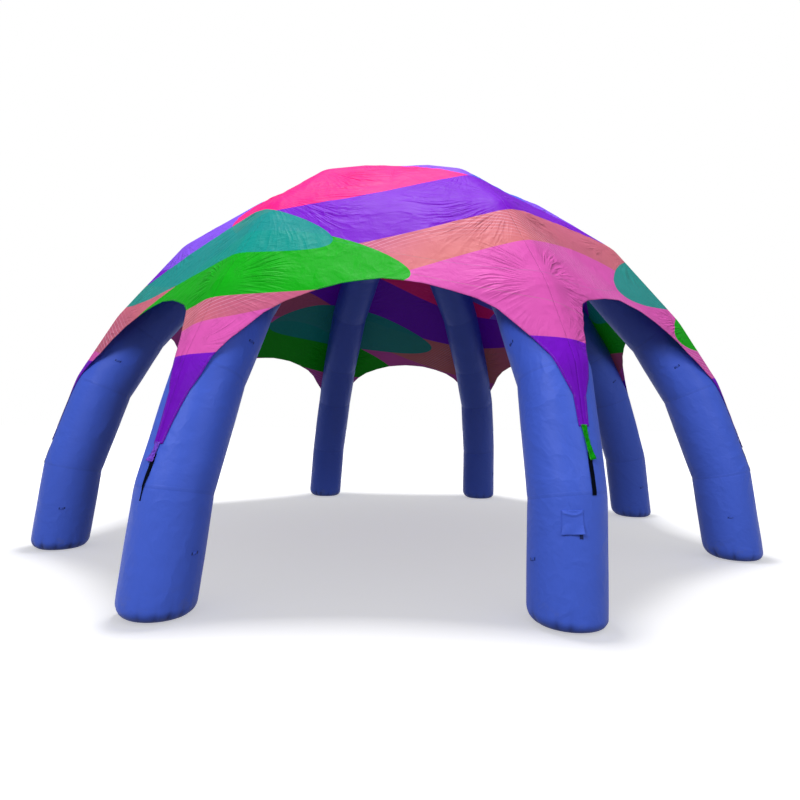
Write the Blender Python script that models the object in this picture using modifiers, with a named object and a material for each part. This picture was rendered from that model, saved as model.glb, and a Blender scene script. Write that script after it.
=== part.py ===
"""Inflatable spider tent: eight bent air legs that meet at a crown chamber, and a canopy of
eight gores that lies over them, drawn down each leg by a tail, a tab and a webbing strap.

Sizes are in metres. The tent stands on z = 0 about the z axis, and its front bay faces -y.
A place on a leg is given by how far along the leg's line it is from the foot, and by an angle
round the tube, measured from the tube's outer side.
"""

import math

import bmesh
import bpy
import numpy as np

# Tubes
TUBE_RADIUS = 0.31
TUBE_SIDES = 20
FOOT_ROUNDING = 0.115
FOOT_UNEVEN = 0.20  # the rounding is wider by this share towards -x, and as much tighter towards +x
FOOT_ROUNDING_STEPS = 4
PART_GAP = 0.0006

# The line that every leg follows: name, out from the tent's axis, up from the floor
LEG_LINE = (
    ("foot", 4.202, 0.000),
    ("first_seam", 4.096, 0.969),
    ("second_seam", 3.804, 1.924),
    ("third_seam", 3.416, 2.619),
    ("fourth_seam", 2.711, 3.520),
    ("fifth_seam", 1.818, 4.170),
    ("sixth_seam", 0.954, 4.554),
    ("crown", 0.860, 4.558),
)

# The legs, round from the front left: name, azimuth in degrees from -y towards +x, how far its foot
# stands out of and beside the regular place, how far along the leg the tail and its tab end, and
# how far aside of the ridge the tab hangs
LEGS = (
    ("leg_1", -25.3, 0.036, -0.106, 1.290, 1.155, 0.000),
    ("leg_2", 20.2, -0.086, -0.095, 1.460, 1.210, 0.024),
    ("leg_3", 69.0, 0.045, -0.050, 1.420, 1.220, 0.006),
    ("leg_4", 111.3, 0.036, -0.030, 1.420, 1.210, -0.010),
    ("leg_5", 155.2, -0.150, 0.035, 1.400, 1.190, 0.008),
    ("leg_6", 199.7, -0.090, 0.106, 1.420, 1.210, -0.006),
    ("leg_7", 245.5, 0.000, 0.000, 1.410, 1.200, 0.010),
    ("leg_8", 289.9, 0.058, -0.107, 1.430, 1.220, -0.008),
)
FOOT_SHARE = {"foot": 1.0, "first_seam": 0.5}  # how much of the foot's offset each seam takes

# Canopy
CLOTH_THICKNESS = 0.003
CLOTH_CLEARANCE = 0.006
RIDGE_GAP = 0.0012
BAY_SAG = 0.010  # of the cloth's girth across the bay
CROWN_RISE = 0.040
TIP_RADIUS = 0.006
# The arch edge of a gore: share of the half bay, distance along the leg
ARCH_EDGE = (
    ("tail_end", 0.024, 1.270),
    ("tail_low", 0.026, 1.420),
    ("tail", 0.036, 1.700),
    ("tail_top", 0.070, 1.826),
    ("flare_1", 0.120, 2.015),
    ("flare_2", 0.188, 2.162),
    ("flare_3", 0.262, 2.288),
    ("haunch_1", 0.336, 2.427),
    ("haunch_2", 0.440, 2.548),
    ("haunch_3", 0.592, 2.653),
    ("crown_1", 0.750, 2.735),
    ("crown_2", 0.890, 2.772),
    ("middle", 1.000, 2.795),
)
# How much lower than that the middle of each gore's edge hangs, round from the front bay
EDGE_DROPS = (-0.022, -0.070, -0.060, 0.105, 0.130, 0.105, 0.020, 0.000)
# How much higher the edge stands beside a gore's left leg and its right leg: most at this place along
# the leg, fading over this and towards the middle
SIDE_LIFTS = {
    "canopy_panel_1": (0.000, 0.070),
    "canopy_panel_2": (0.260, 0.000),
    "canopy_panel_8": (0.000, 0.150),
}
LIFT_PLACE, LIFT_SPREAD = 2.400, 0.300
# The front bay's tail on leg_1 is fuller: by this share, at this place along the leg, fading over this
FULLER_TAIL, FULLER_PLACE, FULLER_SPREAD = 0.046, 1.780, 0.360
TAIL_ROWS = (1.700, 1.826, 2.162, 2.288, 2.427, 2.548, 2.653, 2.735)
BAY_ROWS = (3.170, 3.560, 4.460, 5.520)
CROWN_ROWS = (0.620, 0.240)  # share of the way out to the sixth seam
HALF_BAY_COLUMNS = (0.0, 0.045, 0.092, 0.25, 0.48, 0.74, 1.0)
LEAST_ROW = 0.030

# Crown chamber: name, share of its full reach, height above its middle
CHAMBER_PROFILE = (
    ("bottom", 0.42, -0.345),
    ("bottom_shoulder", 0.80, -0.322),
    ("lower_rim", 1.00, -0.275),
    ("upper_rim", 1.00, 0.268),
    ("top_shoulder", 0.80, 0.292),
    ("top", 0.42, 0.320),
)

# Trim
TAB_WIDTH, TAB_THICKNESS, TAB_LIFT, TAB_FLARE = 0.056, 0.004, 0.0060, 0.030
STRAP_WIDTH, STRAP_THICKNESS, STRAP_LIFT = 0.038, 0.0025, 0.0010
STRAP_UNDER_TAB = 0.060
STRAP_FOOT = 0.972
# leg_1's strap runs on over the first seam, folded lengthwise: its foot, widths and how far aside it ends
FOLDED_FOOT, FOLDED_WIDTH, FOLDED_SEAM_WIDTH, FOLDED_ASIDE = 0.868, 0.012, 0.022, -0.028
LOOP_LENGTH, LOOP_WIDTH, LOOP_THICKNESS = 0.060, 0.022, 0.0018
LOOP_BELLY = 0.0028
LOOP_PLACE = 0.505
FLAP_LEG, FLAP_PLACE, FLAP_ANGLE = 1, 0.775, -28.0
FLAP_WIDTH, FLAP_HEIGHT, FLAP_THICKNESS, FLAP_LIFT = 0.160, 0.175, 0.002, 0.0012
FLAP_CORNER_LIFT = 0.026
PULL_WIDTH, PULL_LENGTH, PULL_THICKNESS = 0.026, 0.062, 0.0025

COLOURS = {
    "air_tube": (0.060, 0.125, 0.560),
    "tent_print": (0.420, 0.080, 0.520),
    "black_webbing": (0.008, 0.008, 0.010),
}


def clear_scene():
    for obj in list(bpy.data.objects):
        bpy.data.objects.remove(obj, do_unlink=True)


def material(name):
    made = bpy.data.materials.new(name)
    made.use_nodes = True
    shader = made.node_tree.nodes["Principled BSDF"]
    shader.inputs["Base Color"].default_value = (*COLOURS[name], 1.0)
    shader.inputs["Roughness"].default_value = 0.5
    made.diffuse_color = (*COLOURS[name], 1.0)
    return made


def add_object(name, points, faces, slot, thickness=0.0):
    """A named mesh object. An open surface gets its thickness on the outer side from a Solidify."""
    shape = bmesh.new()
    made = [shape.verts.new([float(c) for c in p]) for p in points]
    for face in faces:
        shape.faces.new([made[i] for i in face])
    if thickness == 0.0:
        bmesh.ops.recalc_face_normals(shape, faces=shape.faces)
    data = bpy.data.meshes.new(name)
    shape.to_mesh(data)
    shape.free()
    data.materials.append(MATERIALS[slot])
    obj = bpy.data.objects.new(name, data)
    COLLECTION.objects.link(obj)
    if thickness:
        solid = obj.modifiers.new("cloth", "SOLIDIFY")
        solid.thickness = thickness
        solid.offset = 1.0
        solid.use_even_offset = True
    return obj


def loft(rings):
    """Faces of a closed body through rings of as many points each, with its two ends capped."""
    sides = len(rings[0])
    points = [p for ring in rings for p in ring]
    faces = [list(reversed(range(sides)))]
    for k in range(len(rings) - 1):
        for i in range(sides):
            a, b = k * sides + i, k * sides + (i + 1) % sides
            faces.append([a, b, b + sides, a + sides])
    faces.append([(len(rings) - 1) * sides + i for i in range(sides)])
    return points, faces


class Leg:
    """The line of one leg and the directions round its tube."""

    def __init__(self, row):
        self.name, azimuth, foot_out, foot_side, self.tail_end, self.tab_end, self.tab_aside = row
        angle = math.radians(azimuth)
        self.azimuth = angle
        self.out = np.array([math.sin(angle), -math.cos(angle), 0.0])
        self.side = np.array([math.cos(angle), math.sin(angle), 0.0])
        self.plain = np.array([(out, up) for _, out, up in LEG_LINE])
        steps = np.diff(self.plain, axis=0)
        lengths = np.linalg.norm(steps, axis=1)
        self.along = np.concatenate([[0.0], np.cumsum(lengths)])
        along_unit = steps / lengths[:, None]
        square = np.stack([along_unit[:, 1], -along_unit[:, 0]], -1)
        mitres = [np.array([1.0, 0.0])]
        for k in range(1, len(steps)):
            half = square[k - 1] + square[k]
            half /= np.linalg.norm(half)
            mitres.append(half / (half @ square[k]))
        mitres.append(np.array([0.0, 1.0]))
        self.mitres = np.array(mitres)
        share = np.array([FOOT_SHARE.get(name, 0.0) for name, _, _ in LEG_LINE])
        self.centres = np.array(
            [
                (out + s * foot_out) * self.out + s * foot_side * self.side + [0, 0, up]
                for (_, out, up), s in zip(LEG_LINE, share)
            ]
        )

    def at(self, along):
        """Centre, outward direction and sideways direction at this distance from the foot."""
        k = int(np.clip(np.searchsorted(self.along, along) - 1, 0, len(self.along) - 2))
        f = (along - self.along[k]) / (self.along[k + 1] - self.along[k])
        centre = self.centres[k] * (1 - f) + self.centres[k + 1] * f
        mitre = self.mitres[k] * (1 - f) + self.mitres[k + 1] * f
        return centre, mitre[0] * self.out + np.array([0, 0, mitre[1]]), self.side

    def on_tube(self, along, angle, radius):
        centre, outward, side = self.at(along)
        return centre + radius * (math.cos(angle) * outward + math.sin(angle) * side)


def tube_ring(leg, along):
    step = 2 * math.pi / TUBE_SIDES
    return [leg.on_tube(along, (i + 0.5) * step, TUBE_RADIUS) for i in range(TUBE_SIDES)]


def foot_rings(leg):
    """Rings that round the flat foot panel into the tube."""
    rings = []
    for k in range(FOOT_ROUNDING_STEPS + 1):
        turn = 0.5 * math.pi * k / FOOT_ROUNDING_STEPS
        ring = []
        for i in range(TUBE_SIDES):
            angle = (i + 0.5) * 2 * math.pi / TUBE_SIDES
            across = math.cos(angle) * leg.out + math.sin(angle) * leg.side
            rounding = FOOT_ROUNDING * (1 - FOOT_UNEVEN * across[0])
            radius = TUBE_RADIUS - rounding * (1 - math.sin(turn))
            up = rounding * (1 - math.cos(turn))
            centre, _, _ = leg.at(up * leg.along[1] / LEG_LINE[1][2])
            ring.append(np.array([centre[0], centre[1], up]) + radius * across)
        rings.append(ring)
    return rings


def add_leg(leg):
    seams = list(leg.along[1:])
    seams[-1] -= PART_GAP
    rings = foot_rings(leg) + [tube_ring(leg, along) for along in seams]
    add_object(leg.name, *loft(rings), "air_tube")


def add_crown_chamber(legs):
    """The chamber has one flat side square to each leg, and that side is as far out as the legs end."""
    reach, middle = LEG_LINE[-1][1] - PART_GAP, LEG_LINE[-1][2]
    corners = []
    for leg, after in zip(legs, legs[1:] + legs[:1]):
        lines = np.array([leg.out[:2], after.out[:2]])
        corners.append(np.linalg.solve(lines, [reach, reach]))
    rings = [
        [np.array([x * share, y * share, middle + up]) for x, y in corners]
        for _, share, up in CHAMBER_PROFILE
    ]
    add_object("crown_chamber", *loft(rings), "air_tube")


def arch_half(along, drop, fuller=0.0, lift=0.0):
    """The share of the half bay that the cloth covers at this distance from the foot."""
    shares, places = [], []
    for _, share, place in ARCH_EDGE:
        shares.append(share + fuller * math.exp(-(((place - FULLER_PLACE) / FULLER_SPREAD) ** 2)))
        raised = lift * (1 - share) * math.exp(-(((place - LIFT_PLACE) / LIFT_SPREAD) ** 2))
        places.append(place - drop * share + raised)
    return float(np.interp(along, places, shares))


def cloth_point(left, right, along, half, share):
    """A point of the cloth between two legs: it lies round each tube as far as the straight way
    across leaves it, then crosses the bay with a little sag. half is 0 at the left leg, 1 at the right."""
    radius = TUBE_RADIUS + CLOTH_CLEARANCE
    ends = []
    for leg, way in ((left, 1.0), (right, -1.0)):
        centre, outward, side = leg.at(along)
        ends.append((centre, outward, side * way))
    across = ends[1][0] - ends[0][0]
    across /= np.linalg.norm(across)
    turns, leaves = [], []
    for (centre, outward, side), way in zip(ends, (1.0, -1.0)):
        turn = math.atan2(-way * across @ outward / np.linalg.norm(outward), way * across @ side)
        turns.append(turn)
        leaves.append(centre + radius * (math.cos(turn) * outward + math.sin(turn) * side))
    span = leaves[1] - leaves[0]
    girth = radius * (turns[0] + turns[1]) + np.linalg.norm(span)
    distance = max(share * girth / 2, RIDGE_GAP / 2)
    if distance < radius * turns[half]:
        centre, outward, side = ends[half]
        turn = distance / radius
        return centre + radius * (math.cos(turn) * outward + math.sin(turn) * side)
    part = (distance - radius * turns[half]) / np.linalg.norm(span)
    part = 1 - part if half else part
    inward = -(ends[0][1] + ends[1][1])
    inward /= np.linalg.norm(inward)
    return leaves[0] + span * part + inward * BAY_SAG * girth * 4 * part * (1 - part)


def crown_point(left, right, out_share, half, share):
    """A point of the nearly flat cloth inside the sixth seam."""
    seam = left.along[-2]
    rim = cloth_point(left, right, seam, half, share)
    peak = np.array([0.0, 0.0, LEG_LINE[-1][2] + TUBE_RADIUS + CLOTH_CLEARANCE + CROWN_RISE])
    return peak + (rim - peak) * out_share + [0, 0, 0.35 * CROWN_RISE * out_share * (1 - out_share)]


def apart(rows):
    """The rows in order, without any that is nearer to the one before than the least distance."""
    kept = []
    for row in sorted(rows):
        if not kept or row - kept[-1] > LEAST_ROW:
            kept.append(row)
    return kept


def add_canopy_panel(name, left, right, drop):
    seams = [s for s in left.along if left.tail_end < s]
    edge = ARCH_EDGE[-1][2] - drop
    points, rows = [], []

    def put(point):
        points.append(point)
        return len(points) - 1

    def columns(reach):
        even = np.linspace(0, 1, len(HALF_BAY_COLUMNS))
        mix = min(max((reach - 0.1) / 0.3, 0.0), 1.0)
        return even * (1 - mix) + np.array(HALF_BAY_COLUMNS) * mix

    hung = {row - drop * arch_half(row, 0.0) for row in TAIL_ROWS}
    tail = apart(hung | {s for s in seams if s < edge - LEAST_ROW})
    bay = [edge] + apart(set(BAY_ROWS) | {s for s in seams if edge + LEAST_ROW < s < left.along[-1]})
    halves = []
    for half, leg in enumerate((left, right)):
        grid = []
        fuller = FULLER_TAIL if leg.name == "leg_1" and half == 0 else 0.0
        lift = SIDE_LIFTS.get(name, (0.0, 0.0))[half]
        for s in [leg.tail_end] + [s for s in tail if s > leg.tail_end + 0.05]:
            reach = min(arch_half(s, drop, fuller, lift), 1.0)
            grid.append([put(cloth_point(left, right, s, half, reach * c)) for c in columns(reach)])
        halves.append(grid)
    for s in bay:
        row = [put(cloth_point(left, right, s, 0, c)) for c in HALF_BAY_COLUMNS]
        row += [put(cloth_point(left, right, s, 1, c)) for c in reversed(HALF_BAY_COLUMNS[:-1])]
        rows.append(row)
    for out_share in CROWN_ROWS:
        row = [put(crown_point(left, right, out_share, 0, c)) for c in HALF_BAY_COLUMNS]
        row += [put(crown_point(left, right, out_share, 1, c)) for c in reversed(HALF_BAY_COLUMNS[:-1])]
        rows.append(row)

    faces = []

    def strip(lower, upper):
        for i in range(len(lower) - 1):
            faces.append([lower[i], lower[i + 1], upper[i + 1], upper[i]])

    middle = len(HALF_BAY_COLUMNS) - 1
    for half, grid in enumerate(halves):
        first = rows[0][: middle + 1] if half == 0 else rows[0][middle:][::-1]
        chain = grid + [first]
        for lower, upper in zip(chain, chain[1:]):
            if half == 0:
                strip(lower, upper)
            else:
                strip(lower[::-1], upper[::-1])
    for lower, upper in zip(rows, rows[1:]):
        strip(lower, upper)
    tip_share = TIP_RADIUS / LEG_LINE[-2][1]
    tips = [put(crown_point(left, right, tip_share, half, 0.30)) for half in (0, 1)]
    last = rows[-1]
    for i in range(middle):
        faces.append([last[i], last[i + 1], tips[0]])
    faces.append([last[middle], tips[1], tips[0]])
    for i in range(middle, 2 * middle):
        faces.append([last[i], last[i + 1], tips[1]])
    add_object(name, points, faces, "tent_print", CLOTH_THICKNESS)


def facet(leg, along, sideways, lift, angle=0.0):
    """A point over the flat of the tube at this angle, at this lift from it."""
    centre, outward, side = leg.at(along)
    flat = TUBE_RADIUS * math.cos(math.pi / TUBE_SIDES)
    normal = math.cos(angle) * outward + math.sin(angle) * side
    around = -math.sin(angle) * outward + math.cos(angle) * side
    return centre + (flat + lift) * normal + sideways * around


def add_ribbon(name, stations, slot, thickness):
    """A strip of cloth through pairs of edge points, thick on its outer side."""
    points = [p for pair in stations for p in pair]
    faces = [[2 * k, 2 * k + 1, 2 * k + 3, 2 * k + 2] for k in range(len(stations) - 1)]
    add_object(name, points, faces, slot, thickness)


def add_corner_tab(name, leg, turned):
    """The folded end of a canopy tail. Its lower end is turned out, to the side that turned gives."""
    top, end = leg.tail_end - PART_GAP, leg.tab_end
    stations = []
    for share, lift, aside in ((0.0, 0.0, 0.0), (0.35, 0.0, 0.0), (0.72, 0.002, 0.15), (1.0, 0.016, 1.0)):
        along = top + (end - top) * share
        shift = share * leg.tab_aside + turned * aside * 0.5 * TAB_FLARE
        stations.append(
            [
                facet(leg, along, shift - TAB_WIDTH / 2, TAB_LIFT + lift),
                facet(leg, along, shift + TAB_WIDTH / 2, TAB_LIFT + lift),
            ]
        )
    add_ribbon(name, stations[::-1], "tent_print", TAB_THICKNESS)


def add_strap(name, leg):
    top = leg.tab_end + STRAP_UNDER_TAB
    stations = []
    places = [(STRAP_FOOT, STRAP_WIDTH, 0.0)]
    if leg.name == "leg_1":
        seam = (leg.along[1], FOLDED_SEAM_WIDTH, 0.4 * FOLDED_ASIDE)
        places = [(FOLDED_FOOT, FOLDED_WIDTH, FOLDED_ASIDE), seam]
    places += [(0.5 * (STRAP_FOOT + top), STRAP_WIDTH, 0.0), (top, STRAP_WIDTH, 0.0)]
    for along, width, aside in places:
        sides = [leg.tab_aside + aside + way * width / 2 for way in (-1, 1)]
        stations.append([facet(leg, along, side, STRAP_LIFT) for side in sides])
    add_ribbon(name, stations, "black_webbing", STRAP_THICKNESS)


def add_tie_loop(name, leg, along, way):
    """A short strip sewn flat by both ends across the flank, with a shallow belly."""
    stations = []
    for share in (0.0, 0.22, 0.5, 0.78, 1.0):
        sideways = (share - 0.5) * LOOP_LENGTH
        lift = 0.0006 + LOOP_BELLY * math.sin(math.pi * share)
        angle = way * math.pi / 2
        stations.append(
            [
                facet(leg, along + LOOP_WIDTH / 2, sideways, lift, angle),
                facet(leg, along - LOOP_WIDTH / 2, sideways, lift, angle),
            ]
        )
    add_ribbon(name, stations, "air_tube", LOOP_THICKNESS)


def add_valve_flap(leg):
    """A square flap round the tube, sewn by its top edge, one lower corner lifted."""
    columns, rows, points, faces = 6, 5, [], []
    for r in range(rows + 1):
        for c in range(columns + 1):
            down, across = r / rows, c / columns
            lift = FLAP_CORNER_LIFT * (down * across) ** 2.2 + 0.003 * down * (1 - across) ** 2
            reach = TUBE_RADIUS + FLAP_LIFT + lift
            angle = math.radians(FLAP_ANGLE) + (across - 0.5) * FLAP_WIDTH / TUBE_RADIUS
            along = FLAP_PLACE + (0.5 - down) * FLAP_HEIGHT
            points.append(leg.on_tube(along, angle, reach))
    for r in range(rows):
        for c in range(columns):
            a = r * (columns + 1) + c
            faces.append([a, a + columns + 1, a + columns + 2, a + 1])
    add_object("valve_flap", points, faces, "air_tube", FLAP_THICKNESS)


def add_valve_pull(leg):
    """The pull hangs from under the flap's lifted corner and lies on the tube."""
    turn = math.radians(FLAP_ANGLE) + 0.40 * FLAP_WIDTH / TUBE_RADIUS
    half = 0.5 * PULL_WIDTH / TUBE_RADIUS
    lower = FLAP_PLACE - 0.5 * FLAP_HEIGHT
    stations = []
    for share in (0.0, 0.5, 1.0):
        along = lower + 0.030 - share * PULL_LENGTH
        pair = [leg.on_tube(along, turn + way * half, TUBE_RADIUS + 0.001) for way in (1, -1)]
        stations.append(pair)
    add_ribbon("valve_pull", stations, "black_webbing", PULL_THICKNESS)


clear_scene()
COLLECTION = bpy.data.collections.new("inflatable_spider_tent")
bpy.context.scene.collection.children.link(COLLECTION)
MATERIALS = {name: material(name) for name in COLOURS}

ALL_LEGS = [Leg(row) for row in LEGS]
for number, each in enumerate(ALL_LEGS, 1):
    add_leg(each)
    add_corner_tab(f"corner_tab_{number}", each, -1.0 if number in (1, 7, 8) else 1.0)
    add_strap(f"strap_{number}", each)
    for which, way in enumerate((-1, 1)):
        add_tie_loop(f"tie_loop_{2 * number - 1 + which}", each, LOOP_PLACE, way)
for number, (each, after) in enumerate(zip(ALL_LEGS, ALL_LEGS[1:] + ALL_LEGS[:1]), 1):
    add_canopy_panel(f"canopy_panel_{number}", each, after, EDGE_DROPS[number - 1])
add_crown_chamber(ALL_LEGS)
add_valve_flap(ALL_LEGS[FLAP_LEG])
add_valve_pull(ALL_LEGS[FLAP_LEG])
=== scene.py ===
"""The look of the inflatable spider tent: air legs, crown chamber, printed canopy and trim, laid out as
an add-on with one operator for each kind of piece. Sizes are in metres, +Z is up, -Y is the front."""

import math

import bpy
import numpy as np
from bpy.props import FloatProperty, FloatVectorProperty, IntProperty, PointerProperty
from mathutils import Matrix


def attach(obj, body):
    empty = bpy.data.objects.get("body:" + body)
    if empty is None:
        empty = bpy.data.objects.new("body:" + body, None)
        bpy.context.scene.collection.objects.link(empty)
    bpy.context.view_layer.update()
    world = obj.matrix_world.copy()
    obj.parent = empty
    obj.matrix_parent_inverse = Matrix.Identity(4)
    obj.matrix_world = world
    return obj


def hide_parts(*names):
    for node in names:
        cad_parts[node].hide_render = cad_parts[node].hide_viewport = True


bl_info = {
    "name": "Inflatable Spider Tent",
    "version": (1, 0, 0),
    "blender": (4, 5, 0),
    "location": "View3D > Sidebar > Spider Tent",
    "description": "Builds an eight-legged inflatable tent with its printed canopy",
    "category": "Object",
}

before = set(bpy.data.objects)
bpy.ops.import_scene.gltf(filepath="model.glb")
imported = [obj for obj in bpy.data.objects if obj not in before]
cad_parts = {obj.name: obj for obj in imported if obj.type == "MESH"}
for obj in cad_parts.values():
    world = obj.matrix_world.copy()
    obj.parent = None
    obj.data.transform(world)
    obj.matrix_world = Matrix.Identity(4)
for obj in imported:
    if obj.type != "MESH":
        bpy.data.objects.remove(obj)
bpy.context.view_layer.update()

# The line that every leg follows: name, out from the tent's axis, up from the floor
LEG_LINE = (
    ("foot", 4.202, 0.000),
    ("first_seam", 4.096, 0.969),
    ("second_seam", 3.804, 1.924),
    ("third_seam", 3.416, 2.619),
    ("fourth_seam", 2.711, 3.520),
    ("fifth_seam", 1.818, 4.170),
    ("sixth_seam", 0.954, 4.554),
    ("crown", 0.860, 4.558),
)
# Each leg: azimuth from -y towards +x, the foot's offset out and aside, how far along the leg its tail
# and tab end, how far aside of the ridge the tab hangs, which way the tab's end turns
LEGS = (
    (-25.3, 0.036, -0.106, 1.290, 1.155, 0.000, -1),
    (20.2, -0.086, -0.095, 1.460, 1.210, 0.024, 1),
    (69.0, 0.045, -0.050, 1.420, 1.220, 0.006, 1),
    (111.3, 0.036, -0.030, 1.420, 1.210, -0.010, 1),
    (155.2, -0.150, 0.035, 1.400, 1.190, 0.008, 1),
    (199.7, -0.090, 0.106, 1.420, 1.210, -0.006, 1),
    (245.5, 0.000, 0.000, 1.410, 1.200, 0.010, -1),
    (289.9, 0.058, -0.107, 1.430, 1.220, -0.008, -1),
)
FOOT_SHARE = (1.0, 0.5, 0.0, 0.0, 0.0, 0.0, 0.0, 0.0)
# The arch edge of a gore: share of the half bay, distance along the leg. Up to the first share it is the
# tail's straight end
TAIL_HALF = 0.024
ARCH_EDGE = np.array(
    (
        (TAIL_HALF, 1.270), (0.026, 1.420), (0.036, 1.700), (0.070, 1.826), (0.120, 2.015),
        (0.188, 2.162), (0.262, 2.288), (0.336, 2.427), (0.440, 2.548), (0.592, 2.653),
        (0.750, 2.735), (0.890, 2.772), (1.000, 2.795),
    )
)
# How much lower each gore's edge stands in the middle of its bay
EDGE_DROPS = (-0.022, -0.070, -0.060, 0.105, 0.130, 0.105, 0.020, 0.000)
# How much higher a gore's edge stands beside its left leg and its right leg, where along the leg it is
# most, and how far it takes to fade
SIDE_LIFTS = {1: (0.0, 0.070), 2: (0.260, 0.0), 8: (0.0, 0.150)}
LIFT_PLACE, LIFT_SPREAD = 2.400, 0.300
# The front bay's tail on the first leg is fuller by this share, at this place, fading over this
FULLER_TAIL, FULLER_PLACE, FULLER_SPREAD = 0.046, 1.780, 0.360
# A foot's rounding is wider by this share towards -x, and as much tighter towards +x. The second leg's
# has its own share, on a rounding that is smaller by the first number
FOOT_UNEVEN = 0.20
TIGHT_FOOT = (0.78, 0.40)
# Puckers at the foot: how deep on its rounding, and above it
PUCKER_DEPTH, PUCKER_ABOVE = 0.0150, 0.0030
# The leg's grid: columns round it, even rows along it, and rows beside a seam, where its sewn band
# begins and ends
LEG_COLUMNS, LEG_ROWS = 72, 132
SEAM_ROWS = np.array([-0.032, -0.018, -0.0135, -0.0115, 0, 0.0115, 0.0135, 0.018, 0.032])
BAND_HALF = 0.0130
# Creases that spread from the bends, from the crown down: how far along the leg from which seam, how
# far they reach, how strong they are
FANS = (
    (-2, 0.03, 0.95, 1.0), (-3, 0.0, 1.10, 1.0), (-4, 0.0, 1.00, 0.8), (3, 0.0, 0.70, 0.7), (2, 0.1, 0.45, 0.5),
)
CROWN_RISE = 0.040
CHAMBER_REACH, CHAMBER_MIDDLE = 0.8594, 4.558
# The crown chamber's section: height from its middle, share of its plan
CHAMBER_SECTION = np.array(
    (
        (-0.352, 0.06), (-0.350, 0.30), (-0.344, 0.55), (-0.331, 0.76), (-0.305, 0.92), (-0.272, 1.00),
        (0.000, 1.00), (0.262, 1.00), (0.288, 0.92), (0.306, 0.76), (0.318, 0.55), (0.322, 0.30), (0.324, 0.06),
    )
)
# The print's leaves: colour, then level, height and phase of the line that a leaf lies along, where it
# starts round the tent, half its width, how dense it is
LEAVES = (("green", 2.70, 0.30, 2.5, 3.05, 0.37, 1.0), ("teal", 3.12, 0.26, 3.3, 3.75, 0.34, 0.97))
# The front left strap runs past the first seam, and the others end on it
LONG_STRAP_END, STRAP_END = 0.866, 0.955
LOWER_LOOPS, UPPER_LOOPS = 0.505, 2.318
LOOP_LENGTH, LOOP_WIDTH = 0.066, 0.022
FLAP_LEG, FLAP_PLACE, FLAP_ANGLE = 1, 0.775, math.radians(-28.0)
FLAP_WIDTH, FLAP_HEIGHT, FLAP_FLAT_HEIGHT = 0.160, 0.172, 0.175
EYE = (0.0, -8.586, 1.555)
AIM, TILT, ROLL, LENS = 0.0039, 0.0344, 0.0108, 26.85
FLOOR_REACH = 90.0


def length(name, words, metres):
    return FloatProperty(name=name, description=words, default=metres, min=0.0, unit="LENGTH")


class TentSizes(bpy.types.PropertyGroup):
    """Sizes that a maker would change."""

    tube_radius: length("Tube radius", "Radius of an inflated leg", 0.310)
    foot_rounding: length("Foot rounding", "Radius of the turn from base panel to tube", 0.115)
    cloth: length("Cloth thickness", "Thickness of the canopy cloth", 0.0022)
    clearance: length("Cloth clearance", "From the tube to the canopy's inner side", 0.006)
    sag: FloatProperty(name="Bay sag", description="Sag as a share of a bay's girth", default=0.010)
    fold: length("Folds", "Height of the cloth's main creases", 0.0075)
    strap_width: length("Strap width", "Width of the webbing", 0.038)
    tab_width: length("Tab width", "Width of a corner tab", 0.056)
    across: IntProperty(name="Grid across", description="Columns of half a gore", default=66, min=40)
    up: IntProperty(name="Grid up", description="Rows of a gore below the crown", default=138, min=30)


def paint(name, words, value):
    return FloatVectorProperty(name=name, description=words, subtype="COLOR", min=0.0, max=1.0, default=value)


class TentColours(bpy.types.PropertyGroup):
    """Colours of the cloth, of the print and of the stage."""

    tube: paint("Tube", "Coated cloth of the legs", (0.066, 0.146, 0.790))
    violet: paint("Violet", "Deep violet of the print", (0.185, 0.002, 0.590))
    lilac: paint("Lilac", "Lilac of the print", (0.235, 0.085, 0.840))
    blue: paint("Blue", "Blue of the print", (0.052, 0.130, 0.760))
    pink: paint("Pink", "Hot pink of the print", (1.000, 0.010, 0.240))
    blush: paint("Blush", "Light pink of the print", (0.720, 0.100, 0.460))
    salmon: paint("Salmon", "Salmon of the print", (0.680, 0.190, 0.195))
    rose: paint("Rose", "Rose of the print", (0.540, 0.105, 0.225))
    teal: paint("Teal", "Teal of the print", (0.000, 0.290, 0.265))
    green: paint("Green", "Green of the print", (0.000, 0.400, 0.000))
    webbing: paint("Webbing", "Black webbing", (0.0008, 0.0022, 0.0090))
    floor: paint("Floor", "Pale floor", (0.880, 0.880, 0.885))


# ---------------------------------------------------------------- lines and surfaces


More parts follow.
